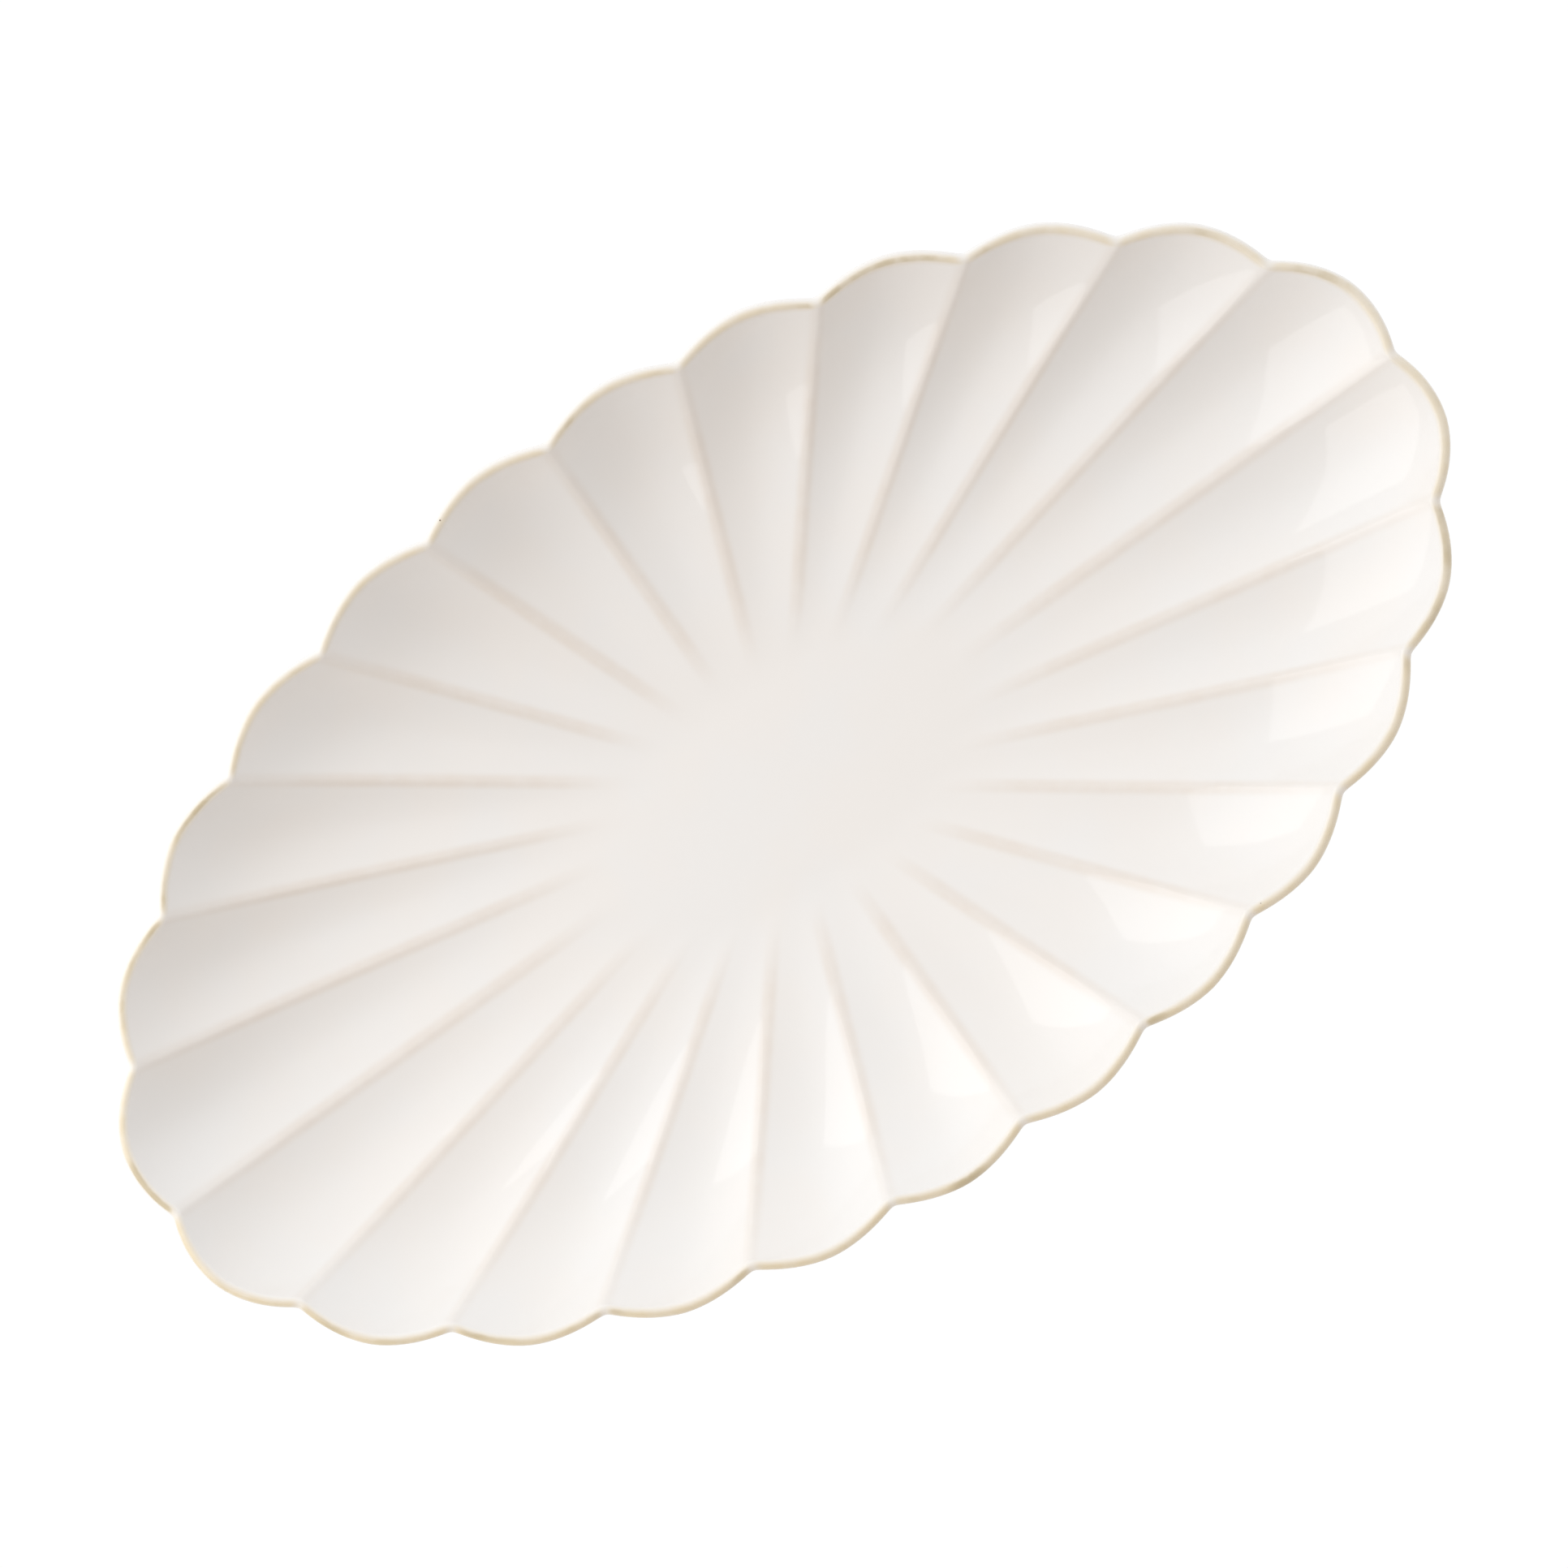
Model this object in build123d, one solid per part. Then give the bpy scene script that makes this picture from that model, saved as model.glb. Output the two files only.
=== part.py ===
from build123d import *
import math
import os
import numpy

# An oval stoneware serving platter with 24 flutes, in millimetres.
# The frame stands under the middle of the dish: +Z is up, X runs along the oval and
# the foot rests on Z = 0.
#
# Every surface is laid out from rings. A ring goes once round the dish at one reach,
# the share of the way from the centre (0) to the lip (1), and has one spline for each
# flute. The splines meet on the ridges between the flutes, where their points are closest.
# A place round the dish is counted in flutes from +X, so whole numbers lie on a ridge.

# Outline of the outer edge of the lip
FLUTES = 24
NOTCH_HALF_LENGTH = 197.25    # centre to lip along X, where two scallops meet
NOTCH_HALF_WIDTH = 109.75     # the same along Y
OVAL_PINCH = 0.006            # how much slimmer than an ellipse the oval is off its axes
SCALLOP_BULGE = 5.15          # how far a scallop stands out past the oval
SCALLOP_POWER = 1.8           # 2 gives a parabola; less gives blunter scallops

# Section of the fired clay
HEIGHT = 36.0                 # foot to the top of the lip
FOOT_HEIGHT = 4.0
FLOOR_THICKNESS = 5.0
RIM_THICKNESS = 2.8

# The wall rises as a gentle slope with a steep rim added to it, each a power of the climb
FLOOR_REACH = 0.25            # the flat centre ends here, and the ridges start
SLOPE_POWER = 1.3
RIM_POWER = 6.0
RIM_SHARE = 0.67              # how much of the rise belongs to the steep rim
END_POWER = 1.5               # added to both powers at the two ends of the oval

# Flutes
RIDGE_SIZE = 4.8              # the highest stretch of a ridge stands half as high as this
RIDGE_START = 1.5             # how slowly a ridge rises out of the floor
RIDGE_END = 6.0               # how late it sinks back into the rim
RIDGE_ROUNDING = 1.0          # half width of the rounded top of a ridge
BULGE_POWER = 1.8             # how the scallops' bulge grows towards the lip

# Underside and foot
FLAT_REACH = 0.48             # the underside is flat to here
HEEL_REACH = 0.64             # and has the wall's own thickness from here
FOOT_REACH = 0.44             # middle of the foot ring
FOOT_WIDTH = 5.5
FOOT_EDGE_RADIUS = 1.2

GLAZE = 0.4                   # thickness of the glaze coat

# How finely the rings are spaced
STEPS_PER_FLUTE = 12
CROWDING = 0.7                # 0 spaces the steps evenly, and 1 packs them all on the ridges
WALL_RINGS = 15
LIP_RINGS = 9
EDGE_RINGS = 5
OVAL_STEPS = 7200
SMALL_TURN = 1e-4             # radians between the points that give the oval's direction

LIP_RADIUS = RIM_THICKNESS / 2 + GLAZE
FLOOR_MIDDLE = FOOT_HEIGHT + FLOOR_THICKNESS / 2
WALL_RISE = HEIGHT - LIP_RADIUS - FLOOR_MIDDLE
OVAL_HALF_LENGTH = NOTCH_HALF_LENGTH - LIP_RADIUS
OVAL_HALF_WIDTH = NOTCH_HALF_WIDTH - LIP_RADIUS


def oval_point(turn):
    """Point of the oval through the middle of the lip at the notches."""
    pinch = 1 - OVAL_PINCH * numpy.sin(2 * turn) ** 2
    return OVAL_HALF_LENGTH * pinch * numpy.cos(turn), OVAL_HALF_WIDTH * pinch * numpy.sin(turn)


def flute_counter():
    """Angles round the oval, how many equal flutes of arc have passed at each, and the
    arc length of one flute."""
    turns = numpy.linspace(0, 2 * math.pi, OVAL_STEPS + 1)
    x, y = oval_point(turns)
    steps = numpy.hypot(numpy.diff(x), numpy.diff(y))
    passed = numpy.concatenate([[0], numpy.cumsum(steps)])
    return turns, passed / passed[-1] * FLUTES, passed[-1] / FLUTES


TURNS, FLUTES_PASSED, FLUTE_WIDTH = flute_counter()


def station(place):
    """Oval point at a place round the dish, and the outward normal there."""
    turn = numpy.interp(place % FLUTES, FLUTES_PASSED, TURNS)
    x, y = oval_point(turn)
    ahead_x, ahead_y = oval_point(turn + SMALL_TURN)
    behind_x, behind_y = oval_point(turn - SMALL_TURN)
    along = Vector(ahead_x - behind_x, ahead_y - behind_y).normalized()
    return Vector(x, y), Vector(along.Y, -along.X)


def climb(reach):
    """0 on the flat floor, and 1 at the lip."""
    return max(0.0, (reach - FLOOR_REACH) / (1 - FLOOR_REACH))


def smooth_step(value, low, high):
    share = min(1.0, max(0.0, (value - low) / (high - low)))
    return share * share * (3 - 2 * share)


def ridge_share(reach, place):
    """0 at the bottom of a trough, and nearly 1 on the rounded top of a ridge."""
    past_ridge = place % 1
    from_ridge = min(past_ridge, 1 - past_ridge)
    rounding = RIDGE_ROUNDING / (FLUTE_WIDTH * reach)
    return max(0.0, 1 - 2 * math.hypot(from_ridge, rounding)) ** SCALLOP_POWER


def ridge_height(reach):
    return RIDGE_SIZE * climb(reach) ** RIDGE_START * (1 - climb(reach) ** RIDGE_END)


def wall_powers(place):
    """Powers of the slope and of the rim, which both grow towards the ends of the oval."""
    oval, outward = station(place)
    end_share = (oval.dot(outward) - OVAL_HALF_WIDTH) / (OVAL_HALF_LENGTH - OVAL_HALF_WIDTH)
    return SLOPE_POWER + END_POWER * end_share, RIM_POWER + END_POWER * end_share


def wall_height(reach, place):
    """Height of the wall's middle in a trough, above its middle under the floor."""
    slope_power, rim_power = wall_powers(place)
    slope = climb(reach) ** slope_power
    rim = climb(reach) ** rim_power
    return WALL_RISE * ((1 - RIM_SHARE) * slope + RIM_SHARE * rim)


def wall_lean(reach, place):
    """Angle of the wall above the horizontal."""
    oval, outward = station(place)
    slope_power, rim_power = wall_powers(place)
    slope = slope_power * climb(reach) ** (slope_power - 1)
    rim = rim_power * climb(reach) ** (rim_power - 1)
    steepness = WALL_RISE * ((1 - RIM_SHARE) * slope + RIM_SHARE * rim) / (1 - FLOOR_REACH)
    return math.atan2(steepness, oval.dot(outward))


def wall_thickness(reach):
    return FLOOR_THICKNESS + (RIM_THICKNESS - FLOOR_THICKNESS) * climb(reach)


def wall_middle(reach, place):
    """Point half way through the thickness of the clay."""
    oval, outward = station(place)
    ridge = ridge_share(reach, place)
    bulge = SCALLOP_BULGE * climb(reach) ** BULGE_POWER * (1 - ridge)
    height = FLOOR_MIDDLE + wall_height(reach, place) + ridge_height(reach) * ridge
    return oval * reach + outward * bulge + Vector(0, 0, height)


def beside_wall(reach, place, distance, swing):
    """Point at a distance from the wall's middle. Swing is in degrees: 90 points up
    out of the wall, 0 on past the lip and -90 down out of the underside."""
    outward = station(place)[1]
    angle = wall_lean(reach, place) + math.radians(swing)
    direction = outward * math.cos(angle) + Vector(0, 0, math.sin(angle))
    return wall_middle(reach, place) + direction * distance


def upper_point(reach, place, coat):
    return beside_wall(reach, place, wall_thickness(reach) / 2 + coat, 90)


def under_point(reach, place, coat):
    """The underside is flat under the floor, so that the foot sits flush, and follows
    the wall beyond the heel."""
    point = beside_wall(reach, place, wall_thickness(reach) / 2 + coat, -90)
    flat = FOOT_HEIGHT - coat
    freedom = smooth_step(reach, FLAT_REACH, HEEL_REACH)
    return Vector(point.X, point.Y, flat + (point.Z - flat) * freedom)


def foot_point(place, spread, height):
    """Point beside the foot's middle line: spread is positive towards the lip."""
    oval, outward = station(place)
    return oval * FOOT_REACH + outward * spread + Vector(0, 0, height)


def spaced(start, end, count):
    return [float(value) for value in numpy.linspace(start, end, count)]


def flute_steps():
    """Places across one flute from ridge to ridge, closest together at the ridges."""
    full_turn = 2 * math.pi
    even = spaced(0, 1, STEPS_PER_FLUTE + 1)
    return [step - CROWDING / full_turn * math.sin(full_turn * step) for step in even]


def ring(point_at):
    """Closed wire of one spline per flute through point_at(place)."""
    edges = []
    for flute in range(FLUTES):
        points = [point_at(flute + step) for step in flute_steps()]
        edges.append(Edge.make_spline(points, parameters=flute_steps()))
    return Wire(edges)


def upper_rings(coat):
    """From the edge of the flat floor out to the lip."""
    reaches = spaced(FLOOR_REACH, 1, WALL_RINGS)
    return [ring(lambda place, r=reach: upper_point(r, place, coat)) for reach in reaches]


def lip_rings(coat):
    """Half a turn round the lip, from the upper side to the underside."""
    radius = RIM_THICKNESS / 2 + coat
    swings = spaced(90, -90, LIP_RINGS)
    return [ring(lambda place, s=swing: beside_wall(1, place, radius, s)) for swing in swings]


def under_rings(coat):
    """From the lip in to the edge of the flat underside."""
    reaches = spaced(1, FLAT_REACH, WALL_RINGS)
    return [ring(lambda place, r=reach: under_point(r, place, coat)) for reach in reaches]


def foot_ring_at(spread, height):
    return ring(lambda place: foot_point(place, spread, height))


def skin(rings):
    """Faces that pass smoothly through the rings."""
    return Shell.make_loft(rings).faces()


def band(first, last):
    """Straight faces between two rings."""
    return Shell.make_loft([first, last], ruled=True).faces()


def solid_from(*groups):
    """One closed solid from groups of faces that meet edge to edge."""
    solid = Solid(Shell([face for group in groups for face in group]))
    return solid if solid.volume > 0 else -solid


def make_clay_body():
    upper = upper_rings(0)
    lip = lip_rings(0)
    under = under_rings(0)
    lip[0] = upper[-1]
    lip[-1] = under[0]
    return solid_from([Face(upper[0])], skin(upper), skin(lip), skin(under), [Face(under[-1])])


def make_inside_glaze():
    clay = upper_rings(0)
    surface = upper_rings(GLAZE)
    return solid_from(
        [Face(clay[0])], skin(clay), band(clay[-1], surface[-1]), skin(surface), [Face(surface[0])]
    )


def make_lip_glaze():
    clay = lip_rings(0)
    surface = lip_rings(GLAZE)
    return solid_from(skin(clay), band(clay[-1], surface[-1]), skin(surface), band(surface[0], clay[0]))


def make_outside_glaze():
    clay = under_rings(0)
    surface = under_rings(GLAZE)
    at_foot_on_clay = foot_ring_at(FOOT_WIDTH / 2, FOOT_HEIGHT)
    at_foot = foot_ring_at(FOOT_WIDTH / 2, FOOT_HEIGHT - GLAZE)
    return solid_from(
        skin(clay),
        [Face(clay[-1], [at_foot_on_clay])],
        band(at_foot_on_clay, at_foot),
        [Face(surface[-1], [at_foot])],
        skin(surface),
        band(surface[0], clay[0]),
    )


def make_foot_well_glaze():
    on_clay = foot_ring_at(-FOOT_WIDTH / 2, FOOT_HEIGHT)
    surface = foot_ring_at(-FOOT_WIDTH / 2, FOOT_HEIGHT - GLAZE)
    return solid_from([Face(on_clay)], band(on_clay, surface), [Face(surface)])


def foot_edge_rings(side):
    """The rounded lower edge of the foot: side is 1 outside and -1 inside."""
    rings = []
    for angle in spaced(0, math.pi / 2, EDGE_RINGS):
        spread = side * (FOOT_WIDTH / 2 - FOOT_EDGE_RADIUS * (1 - math.cos(angle)))
        rings.append(foot_ring_at(spread, FOOT_EDGE_RADIUS * (1 - math.sin(angle))))
    return rings


def make_foot_ring():
    outer_top = foot_ring_at(FOOT_WIDTH / 2, FOOT_HEIGHT)
    inner_top = foot_ring_at(-FOOT_WIDTH / 2, FOOT_HEIGHT)
    outer_edge = foot_edge_rings(1)
    inner_edge = foot_edge_rings(-1)
    return solid_from(
        [Face(outer_top, [inner_top])],
        band(outer_top, outer_edge[0]),
        skin(outer_edge),
        [Face(outer_edge[-1], [inner_edge[-1]])],
        skin(inner_edge),
        band(inner_top, inner_edge[0]),
    )


PIECES = {
    "clay_body": make_clay_body,
    "foot_ring": make_foot_ring,
    "inside_glaze": make_inside_glaze,
    "lip_glaze": make_lip_glaze,
    "outside_glaze": make_outside_glaze,
    "foot_well_glaze": make_foot_well_glaze,
}

os.makedirs("parts", exist_ok=True)
for name, make in PIECES.items():
    export_step(make(), f"parts/{name}.step")
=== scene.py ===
import math

import bpy
import numpy as np
from mathutils import Matrix, Vector


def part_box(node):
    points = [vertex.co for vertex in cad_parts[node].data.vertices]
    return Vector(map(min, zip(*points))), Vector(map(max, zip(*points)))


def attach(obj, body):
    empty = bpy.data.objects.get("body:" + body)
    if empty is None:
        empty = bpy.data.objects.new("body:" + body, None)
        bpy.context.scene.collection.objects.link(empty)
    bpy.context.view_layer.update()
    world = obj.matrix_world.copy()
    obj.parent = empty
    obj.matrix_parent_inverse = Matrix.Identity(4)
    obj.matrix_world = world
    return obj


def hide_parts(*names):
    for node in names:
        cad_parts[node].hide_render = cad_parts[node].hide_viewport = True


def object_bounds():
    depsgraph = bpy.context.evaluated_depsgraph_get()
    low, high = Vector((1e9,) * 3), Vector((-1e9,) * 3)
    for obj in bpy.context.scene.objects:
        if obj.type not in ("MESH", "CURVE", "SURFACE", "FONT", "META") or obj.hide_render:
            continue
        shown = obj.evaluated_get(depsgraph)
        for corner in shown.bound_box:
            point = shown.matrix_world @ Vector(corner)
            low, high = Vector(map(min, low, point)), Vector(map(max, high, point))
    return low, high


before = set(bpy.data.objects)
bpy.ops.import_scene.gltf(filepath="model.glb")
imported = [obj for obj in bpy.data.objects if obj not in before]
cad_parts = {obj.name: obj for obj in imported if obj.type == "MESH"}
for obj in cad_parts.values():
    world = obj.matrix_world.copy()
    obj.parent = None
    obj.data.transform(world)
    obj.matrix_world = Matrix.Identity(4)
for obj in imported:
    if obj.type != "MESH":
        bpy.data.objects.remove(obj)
CAD_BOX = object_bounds()

# Looks for an oval stoneware platter with 24 flutes. Lengths are in metres.
#
# Every surface is laid out from rows of points. A row goes once round the dish at one
# reach, the share of the way from the centre (0) to the lip (1). A place round the dish
# is counted in flutes from +X, so whole numbers lie on a ridge.

MM = 0.001

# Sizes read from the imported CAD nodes
HALF_LENGTH, HALF_WIDTH, HEIGHT = CAD_BOX[1]
CLAY_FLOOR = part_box("inside_glaze")[0].z
FOOT_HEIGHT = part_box("foot_ring")[1].z
WELL_LOW, WELL_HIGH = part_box("foot_well_glaze")
GLAZE = WELL_HIGH.z - WELL_LOW.z
FOOT_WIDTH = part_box("foot_ring")[1].x - WELL_HIGH.x

# Shape of the fired clay, the same as in the CAD
FLUTES = 24
PAST_NOTCH_X = 2.78 * MM      # how much further out than a notch on the axis the lip gets
PAST_NOTCH_Y = 4.59 * MM
OVAL_PINCH = 0.006            # how much slimmer than an ellipse the oval is off its axes
SCALLOP_BULGE = 5.15 * MM     # how far a scallop stands out past the oval
SCALLOP_POWER = 1.8           # 2 gives a parabola; less gives blunter scallops
RIM_THICKNESS = 2.8 * MM
FLOOR_REACH = 0.25            # the flat centre ends here, and the ridges start
SLOPE_POWER = 1.3             # the wall is a gentle slope with a steep rim added to it,
RIM_POWER = 6.0               # each a power of the climb
RIM_SHARE = 0.67              # how much of the rise belongs to the steep rim
END_POWER = 1.5               # added to both powers at the two ends of the oval
RIDGE_SIZE = 4.8 * MM         # the highest stretch of a ridge stands half as high as this
RIDGE_START = 1.5             # how slowly a ridge rises out of the floor
RIDGE_END = 6.0               # how late it sinks back into the rim
RIDGE_ROUNDING = 1.0 * MM     # half width of the rounded top of a ridge
BULGE_POWER = 1.8             # how the scallops' bulge grows towards the lip
FLAT_REACH = 0.48             # the underside is flat to here
HEEL_REACH = 0.64             # and has the wall's own thickness from here

# Where the glaze runs thin, and lets the clay's colour through; on the lip, also painted light and
# shade
RIDGE_THINNESS = 0.4          # of 1 for bare clay
RIDGE_BAND_HALF_WIDTH = 2.2 * MM
RIDGE_BAND_FLATNESS = 4       # 2 gives the band soft edges; more gives sharper ones
RIDGE_BAND_START = (0.03, 0.3)    # climbs between which the band on a ridge appears
RIDGE_BAND_END = (0.7, 1.0)       # and between which it grows fainter towards the rim
RIDGE_BAND_LEFT = 0.45            # share of it left at the rim
RIDGE_OVER_LIP = (20, 90)         # degrees of swing between which it reaches on to the lip
# The band over the lip: the swing in degrees where it starts, is full, fades and ends, and
# how thin the glaze gets in it. To each middle value is added a share towards +X and +Y.
# These shares are painted light and shade. They pull the band back from the faces of the lip
# that catch the light and pale it there, as a painted highlight. They let it spread and
# deepen where the lip is in shade, as painted shade.
LIP_BAND_START = (-35, 0, 25)
LIP_BAND_FULL = (13, 0, 33)
LIP_BAND_FADES = (36, 25, 21)
LIP_BAND_END = (103, 8, 11)
LIP_THINNESS_AND_PAINTED_LIGHT = (0.85, -0.15, -0.12)
KNOT_WIDTH = 1.6 * MM         # thicker glaze gathers in each notch of the lip
KNOT_SHARE = 0.65

# Fine detail. A RANGE is the two levels of noise, from 0 to 1, between which it comes in.
CLOUD_SIZE = 30 * MM
CLOUD_RANGE = (0.35, 0.65)
PATCH_SIZE = 5 * MM
PATCH_RANGE = (0.3, 0.7)
PATCH_EFFECT = (0.85, 1.1)    # what a patch multiplies the thinness by
RUN_SIZE = 26 * MM
RUN_RANGE = (0.53, 0.67)
RUN_STRENGTH = 0.6
RUN_THINNESS = (0.4, 0.9)     # runs and pinholes come in between these thinnesses
PINHOLE_THINNESS = (0.3, 0.4)
PINHOLE_SPACING = 9 * MM
PINHOLE_SHARE = (0.02, 0.035)  # radius as a share of the spacing, solid and with its soft edge
RIPPLE_SIZE = 14 * MM
RIPPLE_DEPTH = 0.05 * MM
GRAIN_SIZE = 0.8 * MM
GRAIN_DEPTH = 0.08 * MM
GRAIN_RANGE = (0.35, 0.65)
NOISE_ROUGHNESS = 0.5
GLAZE_ROUGHNESS = 0.06
GLAZE_IOR = 1.5
CLAY_ROUGHNESS = 0.75

# Colours
IVORY_WARM = (0.874, 0.84, 0.799, 1)
IVORY_COOL = (0.866, 0.842, 0.81, 1)
ROSE_BEIGE = (0.75, 0.645, 0.545, 1)
BEIGE = (0.785, 0.675, 0.485, 1)
OLIVE = (0.47, 0.38, 0.22, 1)
PINHOLE = (0.2, 0.15, 0.1, 1)
CLAY_PALE = (0.62, 0.5, 0.37, 1)
CLAY_DARK = (0.5, 0.39, 0.28, 1)

# Stage. Heights are in degrees above the table, and "around" in degrees from the dish's +X.
LONG_AXIS_ANGLE = 35.26       # degrees, anticlockwise from the picture's right
LENGTH_IN_PICTURE = 0.9685    # the platter's length as a share of the picture's width
CAMERA_ABOVE = 1.35
TABLE_HALF_SIZE = 12.0
TABLE_GREY = 0.05
TABLE_GLOW = 0.97             # most of its whiteness, so that hardly any shadow shows on it
WARM_LIGHT = (1.45, 1.0, 0.65)
COOL_LIGHT = (0.89, 1.0, 1.1)
WORLD_BASE = 0.17             # warm light from everywhere
WORLD_HORIZON = 0.64          # cool light from the studio's walls, at its brightest
WALL_TOP = 0.85               # sine of the height where the walls have gone dark
WORLD_ZENITH = 0.19           # a small patch straight above
ZENITH_EDGE = 0.95
FILL = 1.1                    # a wide glow from one side of the room
FILL_HEIGHT, FILL_AROUND, FILL_NARROWNESS = 40, 20, 4.7
GLOW = 1.08                   # wall lit round the key light
GLOW_HEIGHT, GLOW_AROUND, GLOW_NARROWNESS = 45, 138, 4
KEY_WATTS = 6.5               # one large softbox
KEY_HEIGHT, KEY_AROUND = 43, 158
KEY_DISTANCE = 1.2
KEY_SIZE = (1.78, 1.17)

LIP_RADIUS = RIM_THICKNESS / 2 + GLAZE
FLOOR_THICKNESS = CLAY_FLOOR - FOOT_HEIGHT
FLOOR_MIDDLE = FOOT_HEIGHT + FLOOR_THICKNESS / 2
WALL_RISE = HEIGHT - LIP_RADIUS - FLOOR_MIDDLE
OVAL_X = HALF_LENGTH - PAST_NOTCH_X - LIP_RADIUS
OVAL_Y = HALF_WIDTH - PAST_NOTCH_Y - LIP_RADIUS
FOOT_REACH = (WELL_HIGH.x + FOOT_WIDTH / 2) / OVAL_X

# How finely the meshes are divided
STEPS_PER_FLUTE = 32
CROWDING = 0.7                # 0 spaces the steps evenly, 1 packs them all on the ridges
WALL_ROWS = 90
LIP_ROWS = 28
UNDER_ROWS = 56
HIDDEN_ROWS = 30              # on the side of a glaze coat that lies against the clay
ROW_CROWDING = 1.4            # 1 spaces a wall's rows evenly, and more crowds them at the lip
DISC_SHARES = (0.9, 0.77, 0.6, 0.4, 0.18)    # rows in a flat middle, as shares of its edge
OVAL_STEPS = 7200
SMALL_TURN = 1e-4             # radians between the points that give the oval's direction


# ---- The dish as a formula ----

def oval_point(turn):
    """Points of the oval through the middle of the lip at the notches."""
    pinch = 1 - OVAL_PINCH * np.sin(2 * turn) ** 2
    return np.stack([OVAL_X * pinch * np.cos(turn), OVAL_Y * pinch * np.sin(turn)], axis=-1)


def flute_counter():
    """Angles round the oval, how many equal flutes of arc have passed at each, and the
    arc length of one flute."""
    turns = np.linspace(0, 2 * math.pi, OVAL_STEPS + 1)
    steps = np.linalg.norm(np.diff(oval_point(turns), axis=0), axis=1)
    passed = np.concatenate([[0], np.cumsum(steps)])
    return turns, passed / passed[-1] * FLUTES, passed[-1] / FLUTES


TURNS, FLUTES_PASSED, FLUTE_WIDTH = flute_counter()


class Round:
    """The places that every full row has, closest together on the ridges. For each: the
    oval's point and outward normal, how far the tangent there is from the centre, a share
    from 0 at the sides to 1 at the ends, and the flutes to the nearest ridge."""

    def __init__(self):
        share = np.arange(STEPS_PER_FLUTE) / STEPS_PER_FLUTE
        share = share - CROWDING / (2 * math.pi) * np.sin(2 * math.pi * share)
        place = (np.arange(FLUTES)[:, None] + share).ravel()
        turn = np.interp(place, FLUTES_PASSED, TURNS)
        self.oval = oval_point(turn)
        along = oval_point(turn + SMALL_TURN) - oval_point(turn - SMALL_TURN)
        along /= np.linalg.norm(along, axis=1, keepdims=True)
        self.outward = np.stack([along[:, 1], -along[:, 0]], axis=1)
        self.support = np.sum(self.oval * self.outward, axis=1)
        self.end_share = (self.support - OVAL_Y) / (OVAL_X - OVAL_Y)
        past_ridge = place % 1
        self.from_ridge = np.minimum(past_ridge, 1 - past_ridge)


def climb(reach):
    """0 on the flat floor, and 1 at the lip."""
    return max(0.0, (reach - FLOOR_REACH) / (1 - FLOOR_REACH))


def smooth_step(value, low, high):
    share = np.clip((value - low) / (high - low), 0, 1)
    return share * share * (3 - 2 * share)


def ridge_share(line, reach):
    """0 at the bottom of a trough, and nearly 1 on the rounded top of a ridge."""
    rounding = RIDGE_ROUNDING / (FLUTE_WIDTH * reach)
    return np.clip(1 - 2 * np.hypot(line.from_ridge, rounding), 0, 1) ** SCALLOP_POWER


def ridge_height(reach):
    return RIDGE_SIZE * climb(reach) ** RIDGE_START * (1 - climb(reach) ** RIDGE_END)


def wall_height(line, reach):
    """Height of the wall's middle in a trough, above its middle under the floor."""
    slope = climb(reach) ** (SLOPE_POWER + END_POWER * line.end_share)
    rim = climb(reach) ** (RIM_POWER + END_POWER * line.end_share)
    return WALL_RISE * ((1 - RIM_SHARE) * slope + RIM_SHARE * rim)


def wall_lean(line, reach):
    """Angle of the wall above the horizontal."""
    slope_power = SLOPE_POWER + END_POWER * line.end_share
    rim_power = RIM_POWER + END_POWER * line.end_share
    slope = slope_power * climb(reach) ** (slope_power - 1)
    rim = rim_power * climb(reach) ** (rim_power - 1)
    steepness = WALL_RISE * ((1 - RIM_SHARE) * slope + RIM_SHARE * rim) / (1 - FLOOR_REACH)
    return np.arctan2(steepness, line.support)


def wall_thickness(reach):
    return FLOOR_THICKNESS + (RIM_THICKNESS - FLOOR_THICKNESS) * climb(reach)


def beside_wall(line, reach, distance, swing):
    """A row at a distance from the wall's middle. Swing is in degrees: 90 points up out
    of the wall, 0 on past the lip and -90 down out of the underside."""
    angle = wall_lean(line, reach) + math.radians(swing)
    ridge = ridge_share(line, reach)
    bulge = SCALLOP_BULGE * climb(reach) ** BULGE_POWER * (1 - ridge)
    flat = line.oval * reach + line.outward * (bulge + distance * np.cos(angle))[:, None]
    height = FLOOR_MIDDLE + wall_height(line, reach) + ridge_height(reach) * ridge
    return np.column_stack([flat, height + distance * np.sin(angle)])


def upper_row(line, reach, coat):
    """A row on top of the clay, or on top of a coat of glaze on it."""
    return beside_wall(line, reach, wall_thickness(reach) / 2 + coat, 90)


def under_row(line, reach, coat):
    """A row under the clay, or under a coat of glaze on it. It is flat under the floor, and
    follows the wall beyond the heel."""
    row = beside_wall(line, reach, wall_thickness(reach) / 2 + coat, -90)
    flat = FOOT_HEIGHT - coat
    row[:, 2] = flat + (row[:, 2] - flat) * smooth_step(reach, FLAT_REACH, HEEL_REACH)
    return row


def foot_row(line, spread, height):
    """A row beside the foot ring's middle line, further out by a spread."""
    flat = line.oval * FOOT_REACH + line.outward * spread
    return np.column_stack([flat, np.full(len(flat), height)])


# ---- Meshes from rows ----

class Row:
    """Points once round the dish, with how thin the glaze is there, from 0 to 1, and whether
    it is on the lip, 0 or 1. On the lip the thinness also holds painted highlight and shade."""

    def __init__(self, points, thinness_and_painted_light=0.0, on_lip=0.0):
        self.points = points
        self.normals = np.zeros((len(points), 3))    # zero leaves a vertex its own normal
        self.thinness_and_painted_light = np.zeros(len(points)) + thinness_and_painted_light
        self.on_lip = np.zeros(len(points)) + on_lip


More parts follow.
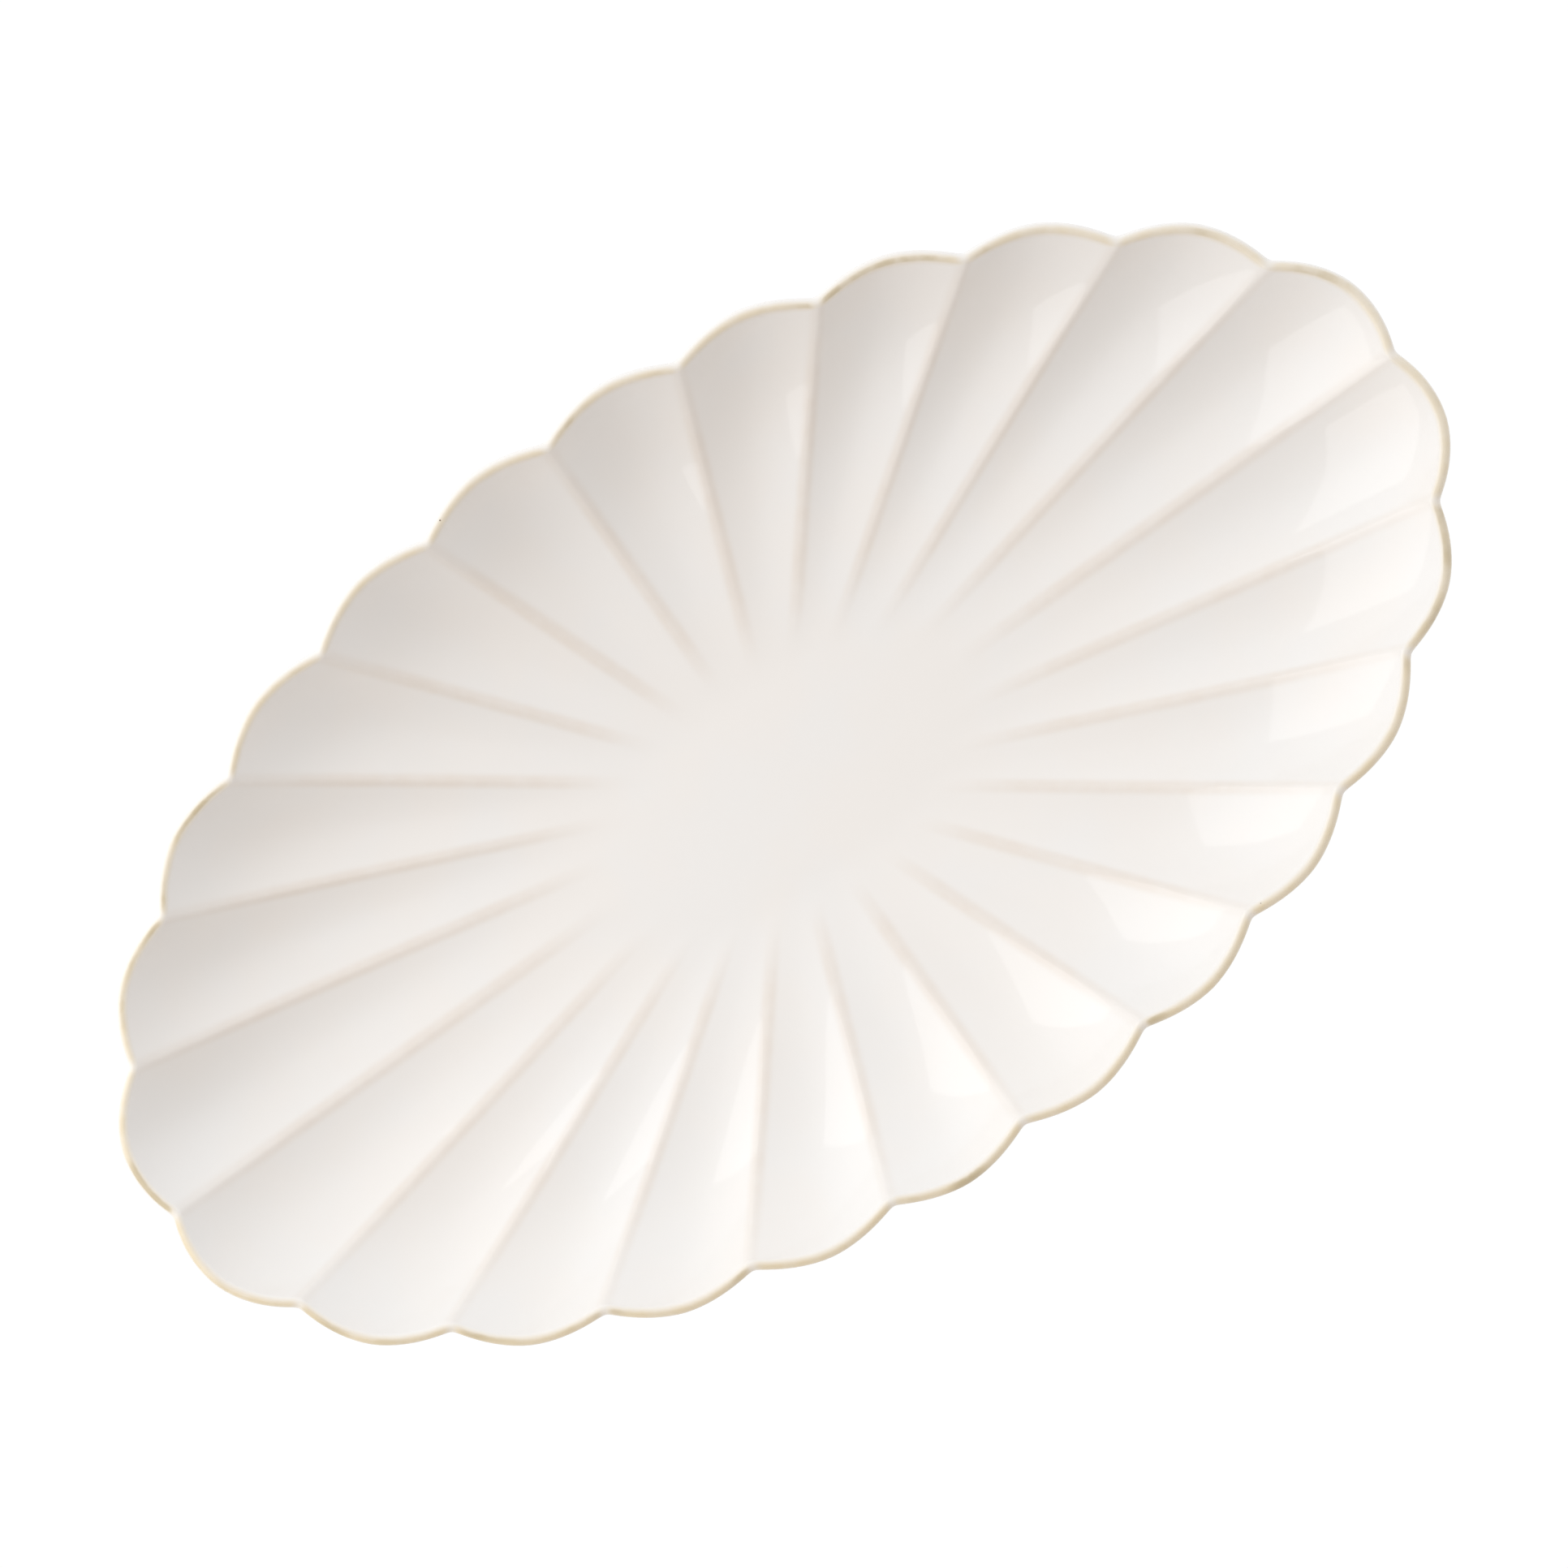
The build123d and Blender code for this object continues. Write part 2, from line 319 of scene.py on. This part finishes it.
def set_normals(rows):
    """Gives rows of equal size the normals of the one smooth skin that they form, so that
    pieces cut from it meet without a visible seam."""
    grid = np.stack([row.points for row in rows])
    rising = grid[1:] - np.roll(grid[:-1], -1, axis=1)
    falling = np.roll(grid[1:], -1, axis=1) - grid[:-1]
    face = np.cross(falling, rising)
    total = np.zeros_like(grid)
    for shift in (0, 1):
        total[:-1] += np.roll(face, shift, axis=1)
        total[1:] += np.roll(face, shift, axis=1)
    total /= np.linalg.norm(total, axis=2, keepdims=True)
    for row, normals in zip(rows, total):
        row.normals = normals


def stitch(first, first_size, second, second_size):
    """Faces between two rows that start at these vertices. The second row has as many
    vertices as the first, or half as many."""
    faces = []
    for i in range(second_size):
        j = (i + 1) % second_size
        if first_size == second_size:
            faces.append((first + i, first + j, second + j, second + i))
        else:
            a, b, c = first + 2 * i, first + 2 * i + 1, first + (2 * i + 2) % first_size
            faces += [(a, b, second + i), (b, second + j, second + i), (b, c, second + j)]
    return faces


def fan(start, size, tip):
    """Faces from a closed row of vertices to a tip."""
    return [(start + i, start + (i + 1) % size, tip) for i in range(size)]


def link(item):
    bpy.context.scene.collection.objects.link(item)


def mesh_piece(piece_name, rows, middle=None):
    """One closed mesh from rows that follow each other round its section, outwards along
    the underside and inwards along the top. The last row is joined to the first, or with
    a middle, a pair of heights, both are closed with fans to the Z axis."""
    sizes = [len(row.points) for row in rows]
    starts = [int(start) for start in np.concatenate([[0], np.cumsum(sizes)])]
    last = len(rows) - 1
    faces = []
    for a in range(last + 1 if middle is None else last):
        b = (a + 1) % len(rows)
        if sizes[b] <= sizes[a]:
            faces += stitch(starts[a], sizes[a], starts[b], sizes[b])
        else:
            faces += [face[::-1] for face in stitch(starts[b], sizes[b], starts[a], sizes[a])]
    if middle is not None:
        rows = rows + [Row(np.array([(0, 0, height) for height in middle]))]
        faces += [face[::-1] for face in fan(starts[0], sizes[0], starts[-1])]
        faces += fan(starts[last], sizes[last], starts[-1] + 1)
    mesh = bpy.data.meshes.new(piece_name)
    mesh.from_pydata(np.vstack([row.points for row in rows]).tolist(), [], faces)
    mesh.shade_smooth()
    for name in ("thinness_and_painted_light", "on_lip"):
        values = np.concatenate([getattr(row, name) for row in rows]).astype(np.float32)
        mesh.attributes.new(name, "FLOAT", "POINT").data.foreach_set("value", values)
    mesh.normals_split_custom_set_from_vertices(np.vstack([row.normals for row in rows]).tolist())
    piece = bpy.data.objects.new(piece_name, mesh)
    link(piece)
    return piece


# ---- The pieces ----

FULL = Round()


def reaches_to_lip(start, count):
    """Reaches from a start out to the lip, closer together near the lip."""
    back = np.linspace(1, 0, count) ** ROW_CROWDING
    return 1 - (1 - start) * back


def ridge_thinness(reach):
    """The glaze runs off the crest of each ridge, and less so near the floor and the lip."""
    from_crest = FULL.from_ridge * FLUTE_WIDTH * reach
    fading = (1 - RIDGE_BAND_LEFT) * smooth_step(climb(reach), *RIDGE_BAND_END)
    share = smooth_step(climb(reach), *RIDGE_BAND_START) * (1 - fading)
    band = np.exp(-(from_crest / RIDGE_BAND_HALF_WIDTH) ** RIDGE_BAND_FLATNESS)
    return RIDGE_THINNESS * share * band


def with_painted_light_by_side(middle, towards_x, towards_y):
    """A value that changes round the dish with the way that the lip faces, used to paint light and
    shade on the lip.
    """
    return middle + FULL.outward @ (towards_x, towards_y)


def lip_thinness_and_painted_light(swing):
    """The glaze runs off the lip too, least of all in the notches. How far the band reaches and
    how pale it is also change with the side the lip faces: painted highlight and shade.
    """
    rising = smooth_step(swing, with_painted_light_by_side(*LIP_BAND_START), with_painted_light_by_side(*LIP_BAND_FULL))
    falling = smooth_step(swing, with_painted_light_by_side(*LIP_BAND_FADES), with_painted_light_by_side(*LIP_BAND_END))
    knot = KNOT_SHARE * np.exp(-(FULL.from_ridge * FLUTE_WIDTH / KNOT_WIDTH) ** 2)
    return with_painted_light_by_side(*LIP_THINNESS_AND_PAINTED_LIGHT) * rising * (1 - falling) * (1 - knot)


def glazed_row(points, reach, swing):
    ridge = ridge_thinness(reach) * smooth_step(swing, *RIDGE_OVER_LIP)
    # on the lip this also holds painted highlight and shade, by the side the lip faces
    lip = lip_thinness_and_painted_light(swing)
    return Row(points, np.maximum(ridge, lip), lip > ridge)


def upper_surface(reach):
    """In from the lip, the swing goes on growing as it would round the lip's own arc."""
    past_lip = np.degrees((1 - reach) * FULL.support / LIP_RADIUS)
    return glazed_row(upper_row(FULL, reach, GLAZE), reach, 90 + past_lip)


def lip_surface(swing):
    return glazed_row(beside_wall(FULL, 1, LIP_RADIUS, swing), 1, swing)


def under_surface(reach):
    return Row(under_row(FULL, reach, GLAZE))


def disc_rows(edge_points, height):
    """Rows from an edge in towards the Z axis, each with half as many points."""
    rows = []
    for share in DISC_SHARES:
        edge_points = edge_points[::2]
        flat = edge_points[:, :2] * share
        rows.append(Row(np.column_stack([flat, np.full(len(flat), height)])))
    return rows


def make_skin():
    """The glazed surface from the edge of the flat underside, over the lip, to the edge
    of the flat floor, cut into the rows of three pieces that share their end rows."""
    under = [under_surface(reach) for reach in reaches_to_lip(FLAT_REACH, UNDER_ROWS)]
    lip = [lip_surface(swing) for swing in np.linspace(-90, 90, LIP_ROWS)]
    upper = [upper_surface(reach) for reach in reaches_to_lip(FLOOR_REACH, WALL_ROWS)[::-1]]
    under[-1], upper[0] = lip[0], lip[-1]
    set_normals(under + lip[1:-1] + upper)
    return under, lip, upper


def make_inside_glaze(upper):
    reaches = reaches_to_lip(FLOOR_REACH, HIDDEN_ROWS)
    clay = [Row(upper_row(FULL, reach, 0)) for reach in reaches]
    surface_height = CLAY_FLOOR + GLAZE
    rows = disc_rows(clay[0].points, CLAY_FLOOR)[::-1] + clay + upper
    rows += disc_rows(upper[-1].points, surface_height)
    return mesh_piece("inside_glaze_coat", rows, middle=(CLAY_FLOOR, surface_height))


def make_lip_glaze(lip):
    swings = np.linspace(90, -90, HIDDEN_ROWS)
    clay = [Row(beside_wall(FULL, 1, RIM_THICKNESS / 2, swing)) for swing in swings]
    return mesh_piece("lip_glaze_band", lip + clay)


def make_outside_glaze(under):
    reaches = reaches_to_lip(FLAT_REACH, HIDDEN_ROWS)[::-1]
    clay = [Row(under_row(FULL, reach, 0)) for reach in reaches]
    at_foot = [Row(foot_row(FULL, FOOT_WIDTH / 2, FOOT_HEIGHT - depth)) for depth in (0, GLAZE)]
    return mesh_piece("outside_glaze_coat", under + clay + at_foot)


def make_foot_well_glaze():
    surface = foot_row(FULL, -FOOT_WIDTH / 2, FOOT_HEIGHT - GLAZE)
    clay = foot_row(FULL, -FOOT_WIDTH / 2, FOOT_HEIGHT)
    rows = disc_rows(surface, FOOT_HEIGHT - GLAZE)[::-1] + [Row(surface), Row(clay)]
    rows += disc_rows(clay, FOOT_HEIGHT)
    return mesh_piece("foot_well_glaze_coat", rows, middle=(FOOT_HEIGHT - GLAZE, FOOT_HEIGHT))


# ---- Materials ----

def new_material(name):
    """A material, with its node tree and its shader."""
    material = bpy.data.materials.new(name)
    material.use_nodes = True
    return material, material.node_tree, material.node_tree.nodes["Principled BSDF"]


def add_node(tree, kind, inputs=None, **settings):
    """A node with settings. Each of its inputs is a value or another node's output."""
    node = tree.nodes.new(kind)
    for name, value in settings.items():
        setattr(node, name, value)
    for name, value in (inputs or {}).items():
        if isinstance(value, bpy.types.NodeSocket):
            tree.links.new(value, node.inputs[name])
        else:
            node.inputs[name].default_value = value
    return node


def mix_colour(tree, amount, low, high):
    node = add_node(tree, "ShaderNodeMix", {0: amount, 6: low, 7: high}, data_type="RGBA")
    return node.outputs[2]


def ramp(tree, value, low, high, out_low=0.0, out_high=1.0):
    """Rises smoothly from out_low to out_high as the value goes from low to high."""
    inputs = {"Value": value, "From Min": low, "From Max": high}
    inputs.update({"To Min": out_low, "To Max": out_high})
    return add_node(tree, "ShaderNodeMapRange", inputs, interpolation_type="SMOOTHSTEP").outputs[0]


def noise(tree, place, wavelength, detail=2.0):
    inputs = {"Vector": place, "Scale": 1 / wavelength}
    inputs.update({"Detail": detail, "Roughness": NOISE_ROUGHNESS})
    return add_node(tree, "ShaderNodeTexNoise", inputs).outputs["Fac"]


def maths(tree, operation, first, second):
    inputs = {0: first, 1: second}
    return add_node(tree, "ShaderNodeMath", inputs, operation=operation).outputs[0]


def multiply(tree, first, second):
    return maths(tree, "MULTIPLY", first, second)


def add(tree, first, second):
    return maths(tree, "ADD", first, second)


def bump(tree, height, depth):
    inputs = {"Height": height, "Strength": 1.0, "Distance": depth}
    return add_node(tree, "ShaderNodeBump", inputs).outputs[0]


def glaze_colour(tree, place):
    """Ivory where the glaze is thick. It breaks to rose beige on the ridges, and to beige
    with darker olive runs and a few pinholes over the lip. The beige over the lip also
    pales and deepens by the side it faces, as painted highlight and shade."""
    # glaze thinness, which on the lip also holds painted highlight and shade
    thinness_and_painted_light = add_node(tree, "ShaderNodeAttribute", attribute_name="thinness_and_painted_light").outputs["Fac"]
    on_lip = add_node(tree, "ShaderNodeAttribute", attribute_name="on_lip").outputs["Fac"]
    cloud = ramp(tree, noise(tree, place, CLOUD_SIZE), *CLOUD_RANGE)
    patch = ramp(tree, noise(tree, place, PATCH_SIZE), *PATCH_RANGE, *PATCH_EFFECT)
    run = ramp(tree, noise(tree, place, RUN_SIZE), *RUN_RANGE, 0.0, RUN_STRENGTH)
    uneven = multiply(tree, thinness_and_painted_light, patch)
    ivory = mix_colour(tree, cloud, IVORY_COOL, IVORY_WARM)
    beige = mix_colour(tree, on_lip, ROSE_BEIGE, BEIGE)
    colour = mix_colour(tree, uneven, ivory, beige)
    run = multiply(tree, ramp(tree, uneven, *RUN_THINNESS), run)
    colour = mix_colour(tree, run, colour, OLIVE)
    inputs = {"Vector": place, "Scale": 1 / PINHOLE_SPACING}
    from_pinhole = add_node(tree, "ShaderNodeTexVoronoi", inputs).outputs["Distance"]
    pinhole = ramp(tree, from_pinhole, PINHOLE_SHARE[1], PINHOLE_SHARE[0])
    where = multiply(tree, on_lip, ramp(tree, thinness_and_painted_light, *PINHOLE_THINNESS))
    return mix_colour(tree, multiply(tree, pinhole, where), colour, PINHOLE)


def glaze_material():
    material, tree, shader = new_material("ivory_glaze")
    place = add_node(tree, "ShaderNodeTexCoord").outputs["Object"]
    tree.links.new(glaze_colour(tree, place), shader.inputs["Base Color"])
    ripple = bump(tree, noise(tree, place, RIPPLE_SIZE, detail=1.0), RIPPLE_DEPTH)
    tree.links.new(ripple, shader.inputs["Normal"])
    shader.inputs["Roughness"].default_value = GLAZE_ROUGHNESS
    shader.inputs["IOR"].default_value = GLAZE_IOR
    return material


def clay_material():
    material, tree, shader = new_material("bare_stoneware")
    place = add_node(tree, "ShaderNodeTexCoord").outputs["Object"]
    grain = noise(tree, place, GRAIN_SIZE, detail=4.0)
    colour = mix_colour(tree, ramp(tree, grain, *GRAIN_RANGE), CLAY_DARK, CLAY_PALE)
    tree.links.new(colour, shader.inputs["Base Color"])
    tree.links.new(bump(tree, grain, GRAIN_DEPTH), shader.inputs["Normal"])
    shader.inputs["Roughness"].default_value = CLAY_ROUGHNESS
    return material


# ---- Stage ----

def towards(height, around):
    """Unit vector at a height above the table and an angle round from +X, in degrees."""
    height, around = math.radians(height), math.radians(around)
    level = math.cos(height)
    return Vector((level * math.cos(around), level * math.sin(around), math.sin(height)))


def make_camera():
    """Straight down over the dish, turned so that its long axis rises to the right."""
    data = bpy.data.cameras.new("camera")
    picture_width = 2 * HALF_LENGTH / LENGTH_IN_PICTURE
    data.lens = data.sensor_width * CAMERA_ABOVE / picture_width
    camera = bpy.data.objects.new("camera", data)
    turn = Matrix.Rotation(-math.radians(LONG_AXIS_ANGLE), 4, "Z")
    camera.matrix_world = Matrix.Translation((0, 0, HEIGHT + CAMERA_ABOVE)) @ turn
    link(camera)
    bpy.context.scene.camera = camera


def make_key_light():
    """The softbox, aimed at the dish."""
    data = bpy.data.lights.new("key", "AREA")
    data.shape = "RECTANGLE"
    data.size, data.size_y = KEY_SIZE
    data.energy = KEY_WATTS
    light = bpy.data.objects.new("key", data)
    light.location = towards(KEY_HEIGHT, KEY_AROUND) * KEY_DISTANCE
    light.rotation_euler = (-light.location).to_track_quat("-Z", "Y").to_euler()
    link(light)


def make_table():
    """A table of plain, even white."""
    mesh = bpy.data.meshes.new("table")
    half = TABLE_HALF_SIZE
    corners = [(-half, -half, 0), (half, -half, 0), (half, half, 0), (-half, half, 0)]
    mesh.from_pydata(corners, [], [(0, 1, 2, 3)])
    material, tree, shader = new_material("white_table")
    shader.inputs["Base Color"].default_value = (TABLE_GREY, TABLE_GREY, TABLE_GREY, 1)
    shader.inputs["Specular IOR Level"].default_value = 0
    shader.inputs["Emission Color"].default_value = (1, 1, 1, 1)
    shader.inputs["Emission Strength"].default_value = TABLE_GLOW
    mesh.materials.append(material)
    table = bpy.data.objects.new("table", mesh)
    link(table)


def world_glow(tree, direction, centre, narrowness, strength):
    """Light that is strongest from one direction and falls off all round it."""
    inputs = {0: direction, 1: centre}
    facing = add_node(tree, "ShaderNodeVectorMath", inputs, operation="DOT_PRODUCT")
    in_front = maths(tree, "MAXIMUM", facing.outputs["Value"], 0.0)
    return multiply(tree, maths(tree, "POWER", in_front, narrowness), strength)


def make_world():
    """The studio: walls bright at the horizon, a dark ceiling, and two glows."""
    world = bpy.data.worlds.new("studio")
    world.use_nodes = True
    tree = world.node_tree
    direction = add_node(tree, "ShaderNodeTexCoord").outputs["Generated"]
    height = add_node(tree, "ShaderNodeSeparateXYZ", {0: direction}).outputs["Z"]
    fill = world_glow(tree, direction, towards(FILL_HEIGHT, FILL_AROUND), FILL_NARROWNESS, FILL)
    glow = world_glow(tree, direction, towards(GLOW_HEIGHT, GLOW_AROUND), GLOW_NARROWNESS, GLOW)
    walls = ramp(tree, height, WALL_TOP, 0.0, 0.0, WORLD_HORIZON)
    zenith = ramp(tree, height, ZENITH_EDGE, 1.0, 0.0, WORLD_ZENITH)
    cool = add(tree, add(tree, walls, zenith), add(tree, fill, glow))
    warm = [WORLD_BASE * share for share in WARM_LIGHT]
    inputs = {0: cool, 1: COOL_LIGHT, 2: warm}
    light = add_node(tree, "ShaderNodeVectorMath", inputs, operation="MULTIPLY_ADD").outputs[0]
    tree.links.new(light, tree.nodes["Background"].inputs["Color"])
    bpy.context.scene.world = world


# ---- Build ----

under, lip, upper = make_skin()
glaze = glaze_material()
pieces = {
    "inside_glaze": (make_inside_glaze(upper), "ivory_glaze"),
    "lip_glaze": (make_lip_glaze(lip), "lip_glaze"),
    "outside_glaze": (make_outside_glaze(under), "ivory_glaze"),
    "foot_well_glaze": (make_foot_well_glaze(), "ivory_glaze"),
}
for node, (piece, slot) in pieces.items():
    piece.data.materials.append(glaze)
    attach(piece, "root")
    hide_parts(node)

clay = clay_material()
for node in ("clay_body", "foot_ring"):
    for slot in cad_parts[node].material_slots:
        slot.material = clay

make_table()
make_world()
make_key_light()
make_camera()
bpy.context.scene.view_settings.view_transform = "Standard"
